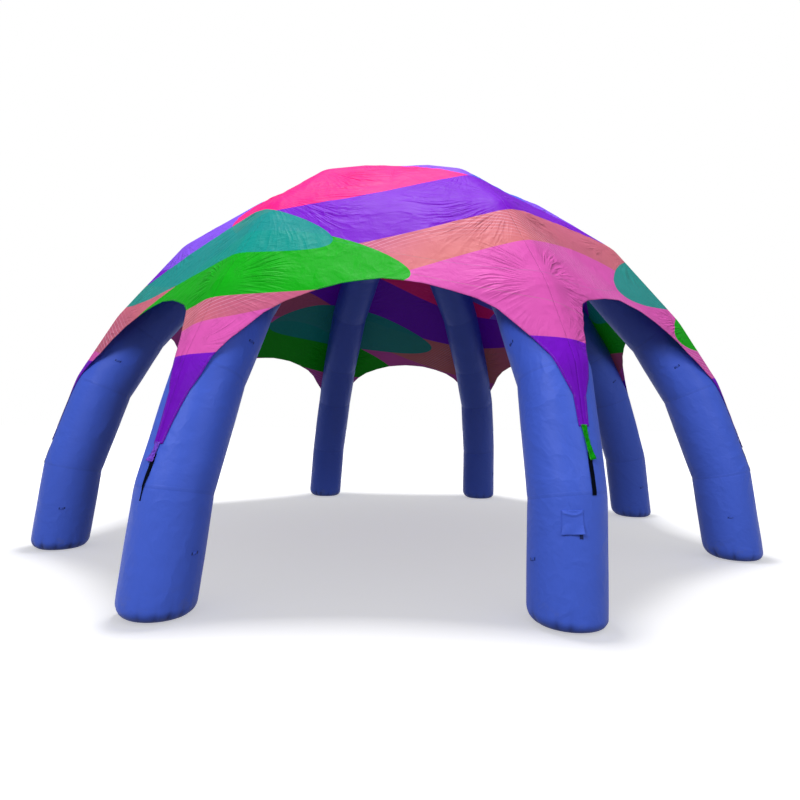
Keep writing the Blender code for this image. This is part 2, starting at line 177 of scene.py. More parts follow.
class Leg:
    """One leg's line. A place on it is its distance from the foot, and an angle round the tube from
    its outer side."""

    def __init__(self, row):
        azimuth, out, aside, self.tail_end, self.tab_end, self.tab_aside, self.turned = row
        angle = math.radians(azimuth)
        self.out = np.array([math.sin(angle), -math.cos(angle), 0.0])
        self.side = np.array([math.cos(angle), math.sin(angle), 0.0])
        plain = np.array([place[1:] for place in LEG_LINE])
        steps = np.diff(plain, axis=0)
        lengths = np.linalg.norm(steps, axis=1)
        self.along = np.concatenate([[0.0], np.cumsum(lengths)])
        ways = steps / lengths[:, None]
        square = np.stack([ways[:, 1], -ways[:, 0]], -1)
        half = square[:-1] + square[1:]
        half /= np.sum(half * square[1:], axis=1)[:, None]
        self.mitres = np.vstack([[1.0, 0.0], half, [0.0, 1.0]])
        share = np.array(FOOT_SHARE)
        self.centres = (
            (plain[:, :1] + share[:, None] * out) * self.out
            + share[:, None] * aside * self.side
            + plain[:, 1:] * [0.0, 0.0, 1.0]
        )

    def at(self, along, ease=0.0):
        """Centre and outward direction, by linear steps from seam to seam, and eased round each bend by
        a weighted mean of the places a little before and after."""
        along = np.asarray(along, float)
        centre, outward = np.zeros(along.shape + (3,)), np.zeros(along.shape + (3,))
        spread = ((-1.0, 1), (-0.5, 2), (0.0, 3), (0.5, 2), (1.0, 1)) if ease else ((0.0, 9),)
        for move, weight in spread:
            place = np.clip(along + move * ease, self.along[0], self.along[-1])
            centre += np.stack([np.interp(place, self.along, c) for c in self.centres.T], -1) * weight / 9
            mitre = np.stack([np.interp(place, self.along, c) for c in self.mitres.T], -1)
            outward += (mitre[..., :1] * self.out + mitre[..., 1:] * [0.0, 0.0, 1.0]) * weight / 9
        return centre, outward

    def on_tube(self, along, angle, radius, ease=0.0):
        """centre + radius (cos angle outward + sin angle sideways)."""
        centre, outward = self.at(along, ease)
        angle, radius = np.asarray(angle, float)[..., None], np.asarray(radius, float)[..., None]
        return centre + radius * (np.cos(angle) * outward + np.sin(angle) * self.side)


ALL_LEGS = [Leg(row) for row in LEGS]


def unit(vectors):
    return vectors / np.linalg.norm(vectors, axis=-1)[..., None]


def ramp(value, width=1.0):
    """Rises evenly from 0, where the value is 0, to 1 at that width."""
    return np.clip(value / width, 0, 1)


def rumple(points, size, seed, waves=14):
    """Smooth unevenness from -1 to 1: the mean of sine waves of seeded random ways and phases, whose
    length is about the given size."""
    rng = np.random.default_rng(seed)
    ways = unit(rng.normal(size=(waves, 3)))
    lengths = size * rng.uniform(0.7, 1.5, waves)
    phase = rng.uniform(0, 2 * math.pi, waves)
    turns = points @ (ways * (2 * math.pi / lengths)[:, None]).T + phase
    return np.sin(turns).sum(-1) / math.sqrt(waves) / 1.6


def crest(turn):
    """Narrow ridges between wide hollows, from 0 to 1, one in each half turn."""
    return (1.0 - np.abs(np.sin(turn))) ** 2


def bump_at(value, middle, width):
    """A bell of height 1 at the middle, about that wide."""
    return np.exp(-(((value - middle) / width) ** 2))


def grid_normals(points, closed=False):
    """Unit normals of a grid of points: the cross product of its steps along columns and rows."""
    if closed:
        across = np.roll(points, -1, axis=1) - np.roll(points, 1, axis=1)
    else:
        across = np.gradient(points, axis=1)
    normal = np.cross(across, np.gradient(points, axis=0))
    return normal / np.maximum(np.linalg.norm(normal, axis=2), 1e-12)[..., None]


def make_piece(name, points, faces, material, uv=None, thickness=0.0, facts=None, inner=None):
    """A named smooth mesh with its place in its vertices, its own UV map and number attributes, and a
    Solidify for a sheet."""
    data = bpy.data.meshes.new(name)
    data.from_pydata(np.asarray(points, float).reshape(-1, 3).tolist(), [], faces)
    data.polygons.foreach_set("use_smooth", np.ones(len(data.polygons), bool))
    if uv is not None:
        loops = np.empty(len(data.loops), np.int32)
        data.loops.foreach_get("vertex_index", loops)
        layer = data.uv_layers.new(name="cloth")
        layer.data.foreach_set("uv", np.asarray(uv, np.float32).reshape(-1, 2)[loops].ravel())
    for key, value in (facts or {}).items():
        value = np.asarray(value, np.float32).ravel()
        data.attributes.new(key, "FLOAT", "POINT").data.foreach_set("value", value)
    data.materials.append(material)
    obj = bpy.data.objects.new(name, data)
    bpy.context.scene.collection.objects.link(obj)
    if thickness:
        solid = obj.modifiers.new("thickness", "SOLIDIFY")
        solid.thickness = thickness
        solid.offset = 1.0
        if inner:
            data.materials.append(inner)
            solid.material_offset = 1
    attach(obj, "root")
    return obj


def grid_faces(rows, columns, closed=False):
    """Quads of a grid of rows by columns, and round it again if closed."""
    a = np.arange(rows * columns).reshape(rows, columns)
    b = np.roll(a, -1, axis=1) if closed else a[:, 1:]
    a = a if closed else a[:, :-1]
    return np.stack([a[:-1], b[:-1], b[1:], a[1:]], -1).reshape(-1, 4).tolist()


def closed_tube(name, rings, material, uv=None, facts=None):
    """A closed body through rings of points, each end drawn in to one point."""
    rows, columns = rings.shape[:2]
    faces = grid_faces(rows, columns, closed=True)
    low, high = rows * columns, rows * columns + 1
    ring = np.arange(columns)
    after = np.roll(ring, -1)
    faces += [[int(b), int(a), low] for a, b in zip(ring, after)]
    top = (rows - 1) * columns
    faces += [[int(top + a), int(top + b), high] for a, b in zip(ring, after)]
    points = np.vstack([rings.reshape(-1, 3), rings[0].mean(0), rings[-1].mean(0)])
    if uv is not None:
        uv = np.vstack([np.asarray(uv).reshape(-1, 2), [0, 0], [0, 1]])
    facts = {k: np.append(np.asarray(v).ravel(), [v[0, 0], v[-1, 0]]) for k, v in (facts or {}).items()}
    return make_piece(name, points, faces, material, uv, facts=facts)


# ---------------------------------------------------------------- materials


class Value:
    """A number, colour or vector in a material. The operators add Math nodes to its nodes."""

    def __init__(self, nodes, socket):
        self.nodes, self.socket = nodes, socket

    def math(self, operation, *others, clamp=False):
        sockets = dict(enumerate((self, *others)))
        return self.nodes.add("ShaderNodeMath", {"operation": operation, "use_clamp": clamp}, sockets)

    def __add__(self, other):
        return self.math("ADD", other)

    def __sub__(self, other):
        return self.math("SUBTRACT", other)

    def __mul__(self, other):
        return self.math("MULTIPLY", other)

    def __truediv__(self, other):
        return self.math("DIVIDE", other)

    def __rsub__(self, other):
        return self.nodes.add("ShaderNodeMath", {"operation": "SUBTRACT"}, {0: other, 1: self})

    def __abs__(self):
        return self.math("ABSOLUTE")

    __radd__, __rmul__ = __add__, __mul__

    def sine(self):
        return self.math("SINE")

    def step(self, edge=0.0, soft=0.004):
        """0 below the edge and 1 above it, eased over a little width."""
        return self.nodes.add(
            "ShaderNodeMapRange",
            {"interpolation_type": "SMOOTHSTEP"},
            {"Value": self, "From Min": edge - soft, "From Max": edge + soft},
        )

    def line(self, at, half, soft):
        """1 where the value is at that, and 0 past half a width to either side."""
        return 1.0 - abs(self - at).step(half, soft)


class Nodes:
    """The nodes of a tree, made as they are needed."""

    def __init__(self, tree):
        self.tree = tree

    def add(self, kind, settings=None, sockets=None, out=0):
        """One node of this kind: its settings first, then the values or links of its sockets."""
        node = self.tree.nodes.new(kind)
        for key, value in (settings or {}).items():
            setattr(node, key, value)
        for key, value in (sockets or {}).items():
            if isinstance(value, Value):
                self.tree.links.new(value.socket, node.inputs[key])
            else:
                node.inputs[key].default_value = value
        return Value(self, node.outputs[out])

    def parts(self, vector):
        found = self.add("ShaderNodeSeparateXYZ", sockets={"Vector": vector})
        return [Value(self, found.socket.node.outputs[i]) for i in range(3)]


class Cloth(Nodes):
    """One material, made round its Principled shader."""

    def __init__(self, name, colour, roughness, **constants):
        self.material = bpy.data.materials.new(name)
        self.material.use_nodes = True
        super().__init__(self.material.node_tree)
        self.shader = self.tree.nodes["Principled BSDF"]
        self.material.diffuse_color = (*colour, 1.0)
        self.shader.inputs["Base Color"].default_value = (*colour, 1.0)
        self.shader.inputs["Roughness"].default_value = roughness
        for key, value in constants.items():
            self.shader.inputs[key.replace("_", " ").title().replace("Ior", "IOR")].default_value = value

    def to(self, socket, value):
        self.tree.links.new(value.socket, self.shader.inputs[socket])

    def place(self):
        return self.add("ShaderNodeTexCoord", out="Object")

    def on_cloth(self):
        return self.add("ShaderNodeUVMap", {"uv_map": "cloth"})

    def creases(self, vector, scale, detail, sharp):
        """Narrow lines where a noise passes its middle."""
        return (1.0 - abs(self.noise(vector, scale, detail) - 0.5) * sharp).math("MAXIMUM", 0.0)

    def join(self, x, y, z):
        return self.add("ShaderNodeCombineXYZ", sockets={0: x, 1: y, 2: z})

    def fact(self, name):
        return self.add("ShaderNodeAttribute", {"attribute_name": name}, out="Fac")

    def noise(self, vector, scale, detail=3.0, rough=0.5):
        sockets = {"Vector": vector, "Scale": scale, "Detail": detail, "Roughness": rough}
        return self.add("ShaderNodeTexNoise", sockets=sockets)

    def mix(self, share, first, second, kind="MIX"):
        """The first colour, with the second over it by that share."""
        first, second = ((*c, 1.0) if isinstance(c, (tuple, list)) else c for c in (first, second))
        settings = {"data_type": "RGBA", "blend_type": kind}
        return self.add("ShaderNodeMix", settings, {0: share, 6: first, 7: second}, out=2)

    def bumps(self, *heights):
        """Bump nodes in a row: (height, strength, distance in metres)."""
        last = None
        for height, strength, distance in heights:
            sockets = {"Height": height, "Strength": strength, "Distance": distance}
            if last:
                sockets["Normal"] = last
            last = self.add("ShaderNodeBump", sockets=sockets)
        self.to("Normal", last)


def colour(name):
    return tuple(getattr(bpy.context.scene.tent_colours, name))


def cloth_bumps(cloth, *more):
    """Soft crumples, fine creases and the weave of the cloth, with more heights if it has them."""
    place = cloth.place()
    x, y, z = cloth.parts(place)
    weave = ((x + z) * 2600.0).sine() * ((y - z) * 2600.0).sine()
    bent = cloth.add("ShaderNodeTexNoise", sockets={"Vector": place, "Scale": 1.1, "Detail": 2.0}, out=1)
    halves = (0.5, 0.5, 0.5)
    bent = cloth.add("ShaderNodeVectorMath", {"operation": "MULTIPLY_ADD"}, {0: bent, 1: halves, 2: place})
    crumple = cloth.noise(bent, 2.6, 4.0, 0.55)
    creases = cloth.creases(bent, 3.4, 3.0, 9.0)
    cloth.bumps((crumple, 0.5, 0.03), (creases, 0.5, 0.006), *more, (weave, 0.15, 0.0002))


def tube_cloth():
    """Coated blue cloth: broad unevenness of tone, darker sewn bands at the seams with two rows of
    stitches, faint scuffs near the floor, and shade along the foot's edge and in its puckers."""
    cloth = Cloth("air_tube_cloth", colour("tube"), 0.46, specular_ior_level=0.20)
    place = cloth.place()
    _, _, z = cloth.parts(place)
    seam = cloth.fact("seam")
    band = 1.0 - seam.step(BAND_HALF, 0.0012)
    rows = seam.line(0.0085, 0.0009, 0.0005) * (cloth.fact("around") * 900.0).sine().step(-0.3, 0.3)
    tone = cloth.noise(place, 1.3, 4.0, 0.6)
    base = cloth.mix(tone * 0.55, colour("tube"), tuple(c * 0.78 for c in colour("tube")))
    base = cloth.mix(band * 0.10, base, (0.020, 0.045, 0.300))
    base = cloth.mix(rows * 0.12, base, (0.120, 0.200, 0.700))
    scuff = cloth.noise(place, 9.0, 6.0, 0.7).step(0.60, 0.10) * (1.0 - z.step(0.16, 0.16))
    base = cloth.mix(scuff * 0.35, base, (0.150, 0.165, 0.300))
    shade = (1.0 - z.step(0.040, 0.060)) * 0.55 + cloth.fact("crease") * 0.80
    base = cloth.mix(shade, base, (0.006, 0.014, 0.110))
    cloth.to("Base Color", base)
    cloth.to("Roughness", tone * 0.14 + 0.40)
    cloth_bumps(cloth, (band * 0.4 + rows, 0.35, 0.0008))
    return cloth.material


def print_colours(cloth):
    """The printed design: broad waves that run round the tent and cross one another, two leaves that
    overlap on every third bay, and a fine hatch of threads along one wave."""
    place = cloth.place()
    x, y, z = cloth.parts(place)
    around = cloth.add("ShaderNodeMath", {"operation": "ARCTAN2"}, {0: x, 1: y * -1.0})

    def above(level, height, count, phase):
        """How far above a line round the tent: z - level - height sin(count azimuth + phase)."""
        return z - ((around * count + phase).sine() * height + level)

    def split(shape, below, beyond):
        return cloth.mix(shape.step(0.0, 0.003), below, beyond)

    drift = cloth.noise(place, 0.32, 1.0, 0.5)
    ground = cloth.mix(drift.step(0.49, 0.14), colour("rose"), colour("salmon"))
    ground = split(above(2.80, 0.60, 2.0, 0.1), colour("blush"), ground)
    hatch = above(2.90, 0.66, 3.0, 0.9)
    threads = (hatch * 150.0).sine().step(0.90, 0.09) * hatch.line(0.0, 0.20, 0.16)
    ground = cloth.mix(threads * 0.45, ground, (0.95, 0.62, 0.85))
    sweep = (around * 2.0 + z * 1.3 - 6.35).sine()
    upper = cloth.mix(sweep.step(-0.10, 0.004), colour("pink"), colour("lilac"))
    wedge = (around * 3.0 - z * 2.1 + 8.7).sine()
    upper = cloth.mix(wedge.step(0.70, 0.004) * 0.9, upper, colour("blue"))
    design = split(above(3.42, 0.46, 2.0, -0.25), ground, colour("violet"))
    design = split(above(3.84, 0.50, 2.0, 0.35), design, upper)
    for name, level, height, phase, start, width, share in LEAVES:
        swell = (around * 3.0 + start).sine().math("MAXIMUM", 0.0).math("SQRT")
        leaf = abs(above(level, height, 3.0, phase)) - swell * width
        design = cloth.mix((1.0 - leaf.step(0.0, 0.003)) * share, design, colour(name))
    return split(above(2.16, 0.12, 4.0, 1.0), colour("violet"), design), place


def canopy_cloth(name, shade):
    """Printed polyester, with a stitched hem and ridge seams. Under 1, shade dims the design on the
    cloth's reverse, partly as its duller back and partly as painted shade, and adds a faint painted glow of the
    design that stands in for daylight shining through."""
    cloth = Cloth(name, colour("violet"), 0.52, specular_ior_level=0.06)
    design, place = print_colours(cloth)
    tone = cloth.noise(place, 2.2, 4.0, 0.6)
    design = cloth.mix(tone * 0.16, design, (0.03, 0.02, 0.06))
    edge = cloth.fact("edge")
    hem = 1.0 - edge.step(0.019, 0.001)
    thread = edge.line(0.016, 0.0009, 0.0004) * (cloth.fact("run") * 1100.0).sine().step(-0.2, 0.3)
    ridge = cloth.parts(cloth.on_cloth())[0].line(0.0, 0.0100, 0.0012)
    design = cloth.mix(hem * 0.14, design, (0.02, 0.01, 0.04))
    design = cloth.mix(thread * 0.2, design, (0.75, 0.62, 0.80))
    # The reverse: the design dimmed towards near black, partly the print's duller back and partly painted
    # shade, then a faint painted glow of it for daylight through the cloth
    if shade < 1.0:
        design = cloth.mix(1.0 - shade, design, (0.020, 0.012, 0.025))
        cloth.to("Emission Color", design)
        cloth.shader.inputs["Emission Strength"].default_value = 0.07
    cloth.to("Base Color", design)
    cloth.to("Roughness", tone * 0.16 + 0.44)
    creases = []
    for which in "ab":
        ray = cloth.join(cloth.fact(f"fan_{which}"), cloth.fact(f"far_{which}"), 0.0)
        rays = cloth.creases(ray, 1.0, 2.0, 5.0)
        creases.append(rays.math("POWER", 1.5) * cloth.fact(f"pull_{which}"))
    cloth_bumps(cloth, (creases[0] + creases[1], 1.0, 0.024), (hem * 0.7 + ridge * 0.2 + thread, 0.5, 0.0010))
    return cloth.material


def tab_cloth(name, shade):
    """The doubled cloth of a corner tab, in one colour of the print, with a stitched border and painted shade
    along fine creases.
    """
    cloth = Cloth(name, shade, 0.5, specular_ior_level=0.06)
    u, v, _ = cloth.parts(cloth.on_cloth())
    thread = abs(u - 0.5).line(0.42, 0.012, 0.008) * (v * 180.0).sine().step(0.0, 0.3)
    tone = cloth.noise(cloth.place(), 26.0, 4.0, 0.6)
    folded = cloth.creases(cloth.place(), 19.0, 2.0, 14.0)
    # Darker with a tone that varies at random, and along fine crease lines: painted shade in the creases
    base = cloth.mix(tone * 0.4 + folded * 0.5 + 0.08, shade, tuple(c * 0.3 for c in shade))
    cloth.to("Base Color", cloth.mix(thread * 0.4, base, (0.75, 0.70, 0.80)))
    cloth.to("Roughness", tone * 0.15 + 0.42)
    cloth_bumps(cloth, (thread, 0.6, 0.0012))
    return cloth.material


def webbing_cloth():
    """Black webbing: ribs across it, herringbone along it, paler where it rubs, and box stitches at its
    sewn ends."""
    black = colour("webbing")
    cloth = Cloth("webbing", black, 0.72, specular_ior_level=0.02)
    u, v, _ = cloth.parts(cloth.on_cloth())
    ribs = (v * 1900.0 + (u * 38.0).math("PINGPONG", 1.0) * 3.0).sine()
    edge = abs(u - 0.5).step(0.44, 0.03)
    worn = cloth.noise(cloth.place(), 60.0, 4.0, 0.6)
    base = cloth.mix(worn * 0.4, black, (0.003, 0.006, 0.016))
    base = cloth.mix(edge * 0.5, base, (0.004, 0.008, 0.020))
    box_stitch = edge.line(0.5, 0.2, 0.1) * cloth.fact("sewn")
    base = cloth.mix(box_stitch * 0.5, base, (0.012, 0.016, 0.030))
    cloth.to("Base Color", base)
    cloth.to("Roughness", worn * 0.2 + 0.5)
    cloth.bumps((ribs, 0.5, 0.0006), (worn, 0.3, 0.001))
    return cloth.material


def loop_cloth():
    """Blue tape of the tie loops, with dark painted shade over each sewn end."""
    blue = colour("tube")
    cloth = Cloth("loop_tape", blue, 0.55, specular_ior_level=0.15)
    worn = cloth.noise(cloth.place(), 90.0, 4.0, 0.6)
    base = cloth.mix(worn * 0.5, tuple(c * 0.80 for c in blue), tuple(c * 0.50 for c in blue))
    # Painted shade: the sewn ends darkened to navy, where the raised belly meets the tube
    painted_end_shade = cloth.fact("sewn").step(0.5, 0.2) * 0.85
    cloth.to("Base Color", cloth.mix(painted_end_shade, base, (0.004, 0.009, 0.050)))
    cloth.bumps((worn, 0.4, 0.0012))
    return cloth.material


MADE = {}


def material(name):
    """The named material, made the first time that a piece asks for it."""
    makers = {
        "tube": tube_cloth,
        "canopy": lambda: canopy_cloth("canopy_print", 1.0),
        # The reverse: the print dimmed partly as painted shade, with a faint painted glow for light through the
        # cloth
        "reverse": lambda: canopy_cloth("canopy_print_reverse", 0.85),
        "lilac_tab": lambda: tab_cloth("lilac_tab", colour("lilac")),
        "green_tab": lambda: tab_cloth("green_tab", colour("green")),
        "webbing": webbing_cloth,
        "loop": loop_cloth,
    }
    if name not in MADE:
        MADE[name] = makers[name]()
    return MADE[name]


# ---------------------------------------------------------------- pieces


def tube_piece(number, leg, sizes):
    """An inflated leg. The foot turns from its flat base panel into the tube on a quarter circle, drawn
    in by puckers on columns of its own; above, the radius is R + a slow swell between seams - a draw-in
    at each seam, with small gathers beside it."""
    around = np.arange(LEG_COLUMNS) * 2 * math.pi / LEG_COLUMNS
    seams = leg.along[1:-1]
    radius = sizes.tube_radius
    level_ring = np.cos(around)[:, None] * leg.out + np.sin(around)[:, None] * leg.side
    # The foot: four rings over its base panel, and sixteen round its turn
    tighter, uneven = TIGHT_FOOT if number == 2 else (1.0, FOOT_UNEVEN)
    turn_radius = tighter * sizes.foot_rounding * (1 - uneven * level_ring[:, 0])
    quarter = np.concatenate([np.zeros(4), np.linspace(0, 0.5 * math.pi, 16)])[:, None]
    levels = turn_radius * (1 - np.cos(quarter))
    reach = radius - turn_radius * (1 - np.sin(quarter))
    reach[:4] *= np.array([0.25, 0.55, 0.8, 0.95])[:, None]
    place = levels * leg.along[1] / LEG_LINE[1][2]
    centre, _ = leg.at(place)
    rng = np.random.default_rng(300 + number)
    gathered = np.cumsum(rng.choice([4, 5, 6, 8], 14))
    gathered = gathered[gathered < LEG_COLUMNS - 2]
    pucker = np.zeros(LEG_COLUMNS)
    pucker[gathered] = rng.uniform(0.3, 0.9, len(gathered))
    pucker += 0.22 * (np.roll(pucker, 1) + np.roll(pucker, -1))
    drawn = PUCKER_DEPTH * bump_at(quarter / math.pi * 2, 0.64, 0.30) * pucker
    foot = centre * [1, 1, 0] + levels[..., None] * [0, 0, 1] + (reach - drawn)[..., None] * level_ring
    # The tube above it: even rows, but for those beside the seams
    near = (seams[:, None] + SEAM_ROWS).ravel()
    first = 1.1 * place[-1].max() + 0.02
    even = np.linspace(first, leg.along[-1] - 0.001, LEG_ROWS)
    far = np.abs(even[:, None] - seams).min(1) > 0.040
    along = np.sort(np.concatenate([even[far], near]))
    gaps = np.abs(along[:, None] - seams)
    gap, close = gaps.min(1), gaps.argmin(1)[:, None]
    span = np.clip(np.searchsorted(leg.along, along) - 1, 0, len(leg.along) - 2)
    part = (along - leg.along[span]) / (leg.along[span + 1] - leg.along[span])
    swell = 0.0018 * np.sin(math.pi * part) - 0.0022 * bump_at(gap, 0.0, 0.024) + 0.0004 * (gap < 0.013)
    gathers = crest(around * (13 + 3 * close) + 2.0 * np.sin(around * 3 + close * 2.1 + number))
    gathers = 0.0018 * gathers * bump_at(gap, 0.030, 0.022)[:, None]
    low = PUCKER_ABOVE * pucker * bump_at(along, place[-1].max(), 0.040)[:, None]
    runs = along[:, None] + 0 * around
    tube = leg.on_tube(runs, 0 * runs + around, radius + swell[:, None] - gathers - low, ease=0.020)
    tube += 0.0016 * rumple(tube, 0.45, 40 + number)[..., None] * level_ring
    tube[..., 2] = np.maximum(tube[..., 2], 0.0)
    # What the cloth's material reads: distance from a seam, way round, depth of the puckers
    rings = np.concatenate([foot, tube])
    seam = np.concatenate([np.ones(len(levels)), gap])[:, None] + 0 * around
    turned = 0 * seam + around * radius
    uv = np.stack([turned, np.concatenate([place, runs])], -1)
    crease = np.concatenate([drawn, low]) / PUCKER_DEPTH
    facts = {"seam": seam, "around": turned, "crease": crease}
    obj = closed_tube(f"air_leg_{number}", rings, material("tube"), uv, facts)
    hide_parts(f"leg_{number}")


def seamless(points):
    """The tube cloth's facts for a piece without a sewn band."""
    return {"seam": np.ones(points.shape[:2]), "around": np.zeros(points.shape[:2])}


def crown_piece():
    """The crown chamber: a cushion whose plan is the eight-sided ring that the legs end on, and whose
    section swells from an upright rim to a low crown above and below."""
    corners = []
    for leg, after in zip(ALL_LEGS, ALL_LEGS[1:] + ALL_LEGS[:1]):
        corners.append(np.linalg.solve(np.array([leg.out[:2], after.out[:2]]), [CHAMBER_REACH] * 2))
    corners = np.array(corners)
    share = np.linspace(0, 1, 16, endpoint=False)
    plan = corners[:, None] * (1 - share[:, None]) + np.roll(corners, -1, axis=0)[:, None] * share[:, None]
    plan = plan.reshape(-1, 2)
    rise, out = CHAMBER_SECTION.T
    rings = np.zeros((len(rise), len(plan), 3))
    rings[..., :2] = plan * out[:, None, None]
    rings[..., 2] = CHAMBER_MIDDLE + rise[:, None]
    uv = np.zeros(rings.shape[:2] + (2,))
    obj = closed_tube("crown_cushion", rings, material("tube"), uv, seamless(rings))
    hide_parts("crown_chamber")


def cloth_places(left, right, along, share, half, sizes, ease=0.07):
    """Points of the cloth between two legs: it lies round each tube as far as the straight way across
    leaves it, then crosses the bay with a parabolic sag. share is 0 on the ridge of the leg that half
    (0 left, 1 right) names, and 1 in the middle. Also gives the distance from the ridge and the
    distance past the tube."""
    radius = sizes.tube_radius + sizes.clearance
    ends = [leg.at(along, ease) for leg in (left, right)]
    sides = [left.side, -right.side]
    across = unit(ends[1][0] - ends[0][0])
    turns, leaves = [], []
    for (centre, outward), side, way in zip(ends, sides, (1.0, -1.0)):
        turn = np.arctan2(-way * np.sum(across * unit(outward), -1), way * (across @ side))
        turns.append(turn)
        leaves.append(centre + radius * (np.cos(turn)[..., None] * outward + np.sin(turn)[..., None] * side))
    span = leaves[1] - leaves[0]
    width = np.linalg.norm(span, axis=-1)
    girth = radius * (turns[0] + turns[1]) + width
    distance = share * girth / 2
    own_turn = np.where(half == 0, turns[0], turns[1])
    past = distance - radius * own_turn
    part = np.clip(past, 0, None) / width
    part = np.where(half == 0, part, 1 - part)
    inward = unit(-(ends[0][1] + ends[1][1]))
    sag = (sizes.sag * girth * 4 * part * (1 - part))[..., None]
    flat = leaves[0] + span * part[..., None] + inward * sag
    turn = (distance / radius)[..., None]
    lying = [
        centre + radius * (np.cos(turn) * outward + np.sin(turn) * side)
        for (centre, outward), side in zip(ends, sides)
    ]
    lying = np.where((half == 0)[..., None], lying[0], lying[1])
    return np.where((past < 0)[..., None], lying, flat), distance, past


def gore_piece(number, left, right, sizes):
    """One gore of the canopy on a grid of shares across the bay and steps from the arch edge up to the
    peak. Between the legs the cloth rounds off the bends that it keeps on the tubes. Creases stand on it
    along its normal."""
    drop = EDGE_DROPS[number - 1]
    shares = np.concatenate(
        [
            np.linspace(0, TAIL_HALF, 4),
            [0.0265, 0.030, 0.036, 0.044, 0.056, 0.070, 0.086, 0.103],
            np.linspace(0.120, 0.340, 18),
            np.linspace(0.355, 1.0, sizes.across - 30),
        ]
    )
    share = np.concatenate([shares, shares[-2::-1]])
    half = np.concatenate([np.zeros(len(shares)), np.ones(len(shares) - 1)])
    # The arch edge: how far along the legs each column starts
    low = np.zeros(len(share))
    reached, places = ARCH_EDGE.T
    for side, lift in enumerate(SIDE_LIFTS.get(number, (0.0, 0.0))):
        raised = lift * (1 - reached) * bump_at(places, LIFT_PLACE, LIFT_SPREAD)
        fuller = FULLER_TAIL * (number == 1 and side == 0) * bump_at(places, FULLER_PLACE, FULLER_SPREAD)
        edge = np.interp(share, reached + fuller, places - drop * reached + raised)
        low = np.where(half == side, edge, low)
    tail = np.where(half == 0, left.tail_end, right.tail_end)
    low = np.where(share <= TAIL_HALF, tail, np.maximum(low, tail))
    # The cloth up to the last seam, then over the crown to the peak
    sixth = left.along[-2]
    step = np.concatenate([[0.0, 0.3, 0.6], np.linspace(1, sizes.up, sizes.up)]) / sizes.up
    along = low + (sixth - low) * step[:, None]
    share2, half2 = np.broadcast_to(share, along.shape), np.broadcast_to(half, along.shape)
    lower, distance, past = cloth_places(left, right, along, share2, half2, sizes)
    eased = cloth_places(left, right, along, share2, half2, sizes, 0.34)[0]
    free = ramp(past, 0.9) ** 2 * (3 - 2 * ramp(past, 0.9))
    free *= ramp(sixth - along, 0.5) * ramp(along - low, 0.3)
    lower += (eased - lower) * free[..., None]
    rim = lower[-1]
    peak = np.array([0.0, 0.0, CHAMBER_MIDDLE + sizes.tube_radius + sizes.clearance + CROWN_RISE])
    out = (1 - np.linspace(0, 1, 24)[1:-1])[:, None, None]
    upper = peak + (rim - peak) * out + np.array([0, 0, 0.35 * CROWN_RISE]) * out * (1 - out)
    points = np.concatenate([lower, upper])
    distance = np.concatenate([distance, distance[-1] * out[..., 0]])
    past = np.concatenate([past, np.maximum(past[-1], 0.05) * out[..., 0]])
    along = np.concatenate([along, sixth + (1 - out[..., 0]) * 0.95 * np.ones(along.shape[1])])
    half2 = np.broadcast_to(half, along.shape)
    folds, facts = gore_folds(number, points, along, distance, past, half2, left, sizes)
    normal = grid_normals(points)
    normal *= np.sign(np.sum(normal * (points - [0, 0, 1.0]), -1))[..., None]
    points = points + normal * folds[..., None]
    rows, columns = points.shape[:2]
    faces = grid_faces(rows, columns)
    top = (rows - 1) * columns
    faces += [[top + i, top + i + 1, rows * columns] for i in range(columns - 1)]
    # The hem's facts: distance from the arch edge and along it, near that edge alone
    reach = rows // 3
    gaps = np.linalg.norm(points[:reach, :, None] - points[0][None, None], axis=3)
    nearest = gaps.argmin(2)
    lengths = np.concatenate([[0], np.cumsum(np.linalg.norm(np.diff(points[0], axis=0), axis=1))])
    facts["edge"], facts["run"] = np.ones((rows, columns)), np.zeros((rows, columns))
    facts["edge"][:reach] = edge_gap(points[:reach], points[0], nearest)
    facts["run"][:reach] = lengths[nearest]
    facts = {key: np.append(value.ravel(), value[-1].mean()) for key, value in facts.items()}
    uv = np.vstack([np.stack([np.where(half2 == 0, distance, -distance), along], -1).reshape(-1, 2), [0, 0]])
    vertices = np.vstack([points.reshape(-1, 3), peak])
    outer, inner = material("canopy"), material("reverse")
    obj = make_piece(f"canopy_gore_{number}", vertices, faces, outer, uv, sizes.cloth, facts, inner)
    size = round(2 * float(distance.max()), 2), round(float((along[-1] - along[0]).max()) + 0.05, 2)
    return obj, size, sheet_area(points)


def edge_gap(points, line, nearest):
    """Distance from each point to the line of edge points, on the two steps beside its nearest one."""
    best = np.full(points.shape[:2], 1e9)
    for shift in (-1, 0):
        first = np.clip(nearest + shift, 0, len(line) - 2)
        a, b = line[first], line[first + 1]
        way = b - a
        part = np.clip(np.sum((points - a) * way, -1) / np.maximum(np.sum(way * way, -1), 1e-12), 0, 1)
        best = np.minimum(best, np.linalg.norm(points - a - way * part[..., None], axis=-1))
    return best


